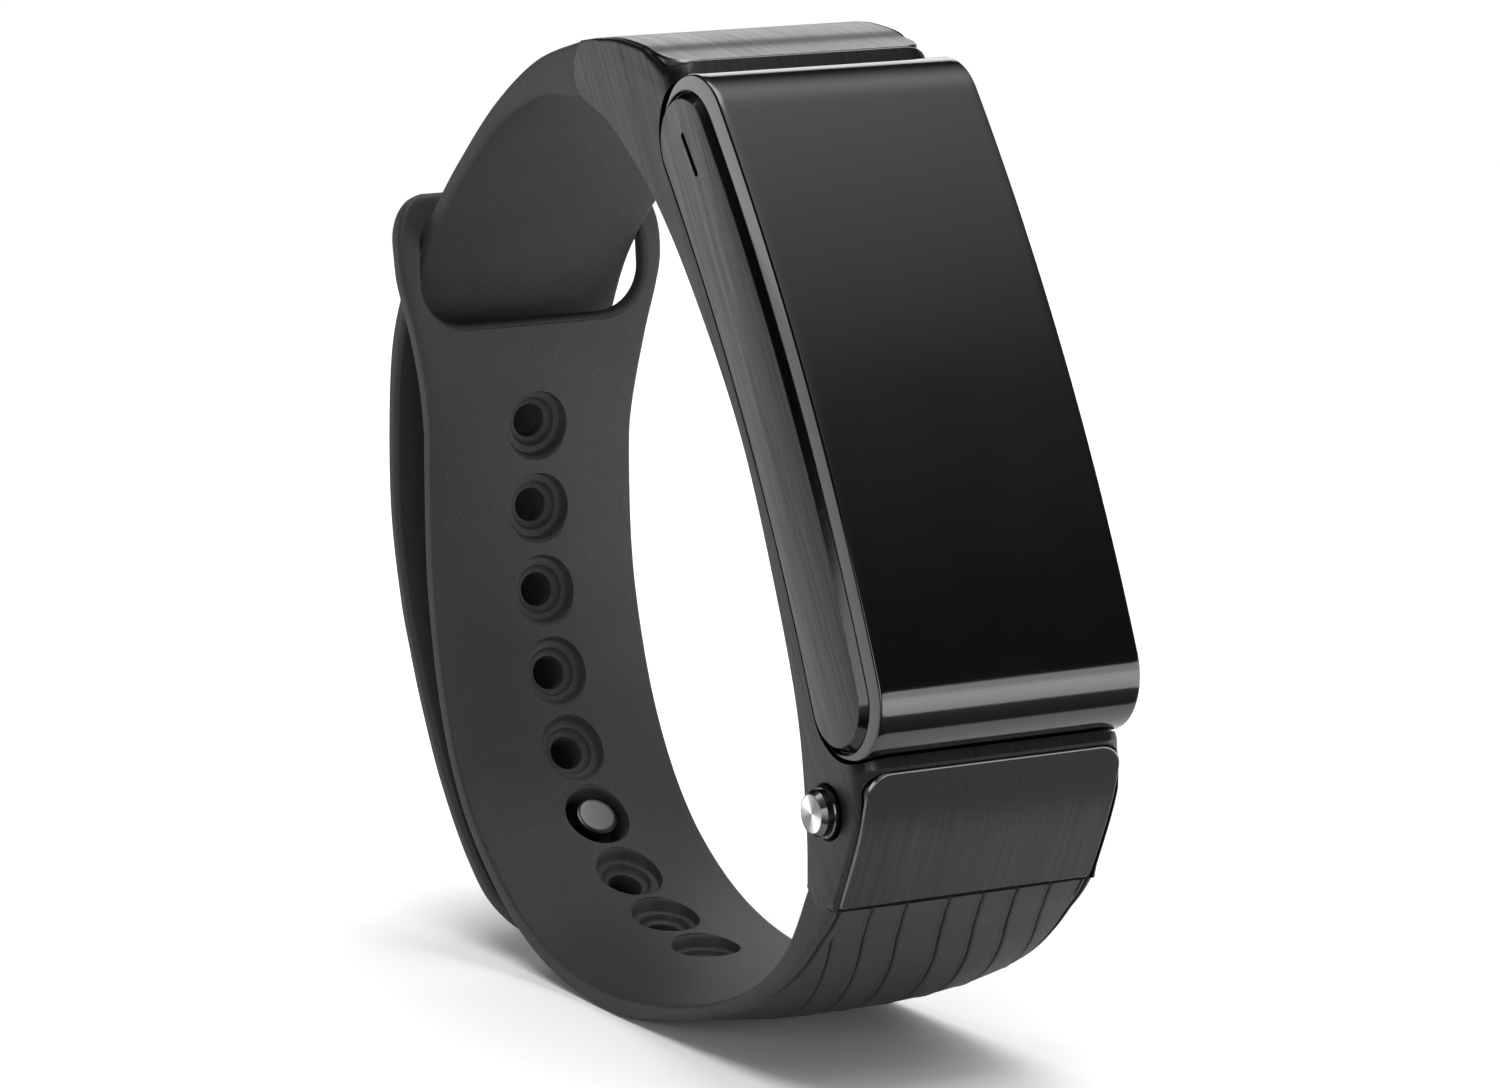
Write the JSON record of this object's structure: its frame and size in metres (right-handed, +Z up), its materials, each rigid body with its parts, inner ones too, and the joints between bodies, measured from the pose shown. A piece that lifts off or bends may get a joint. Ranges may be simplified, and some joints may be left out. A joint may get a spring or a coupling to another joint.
{
  "type": "fitness tracker band",
  "caption": "Closed wrist band with a curved display pod docked in a metal cradle, push buttons that release it, and a two-piece strap with a loop, stepped holes and a stud.",
  "frame": {"origin": "on the ground, under the middle of the closed hoop's bounding box", "axes": "+X runs across the wrist, through the hoop's opening; +Z is up; the display faces -Y and leans back by 30 degrees"},
  "size_m": [0.0234, 0.0734, 0.0704],
  "materials": {
    "black_glass": "high gloss",
    "panel": "gloss",
    "pod_shell": "satin edge",
    "side_metal": "brushed along the pod",
    "cradle_metal": "dark satin, brushed",
    "shoulder_metal": "brushed along the strap",
    "button_metal": "polished dark metal",
    "face_metal": "spun bright metal",
    "stud_metal": "satin",
    "can_steel": "satin",
    "strap_rubber": "matte soft elastomer",
    "washer_rubber": "matte",
    "board": "solder mask",
    "battery_foil": "foil",
    "contact_gold": "plated"
  },
  "bodies": {
    "band": {"cradle_frame": "cradle_metal", "top_plate": "shoulder_metal", "bottom_plate": "shoulder_metal", "plate_screws": "can_steel", "release_spring_left": "can_steel", "release_spring_right": "can_steel", "upper_strap": "strap_rubber", "lower_strap": "strap_rubber", "upper_anchor_pin": "can_steel", "lower_anchor_pin": "can_steel"},
    "pod": {"display_glass": "black_glass", "display_panel": "panel", "pod_housing": "pod_shell", "side_plate_left": "side_metal", "side_plate_right": "side_metal", "main_board": "board", "battery": "battery_foil", "microphone": "contact_gold", "speaker": "can_steel", "vibration_motor": "can_steel", "charge_contacts": "contact_gold"},
    "power_key": {"power_key": "side_metal"},
    "release_left": {"release_button_left": "button_metal", "button_face_left": "face_metal"},
    "release_right": {"release_button_right": "button_metal", "button_face_right": "face_metal"},
    "tail": {"strap_tail": "strap_rubber", "stud": "stud_metal", "stud_washer": "washer_rubber"}
  },
  "joints": [
    {"name": "pod_lift", "type": "slide", "parent": "band", "child": "pod", "axis": [0, -0.866, 0.5], "range_m": [0, 0.02]},
    {"name": "power_key_press", "type": "slide", "parent": "pod", "child": "power_key", "axis": [-1, 0, 0], "range_m": [0, 0.00035], "stiffness_N_per_m": 800},
    {"name": "release_left_press", "type": "slide", "parent": "band", "child": "release_left", "axis": [1, 0, 0], "range_m": [0, 0.0008], "stiffness_N_per_m": 1200, "deforming": ["release_spring_left"]},
    {"name": "release_right_press", "type": "slide", "parent": "band", "child": "release_right", "axis": [-1, 0, 0], "range_m": [0, 0.0008], "stiffness_N_per_m": 1200, "deforming": ["release_spring_right"]},
    {"name": "tail_peel", "type": "hinge", "parent": "band", "child": "tail", "pos_m": [0, 0.0329, 0.02074], "axis": [1, 0, 0], "range_deg": [0, 50]}
  ]
}
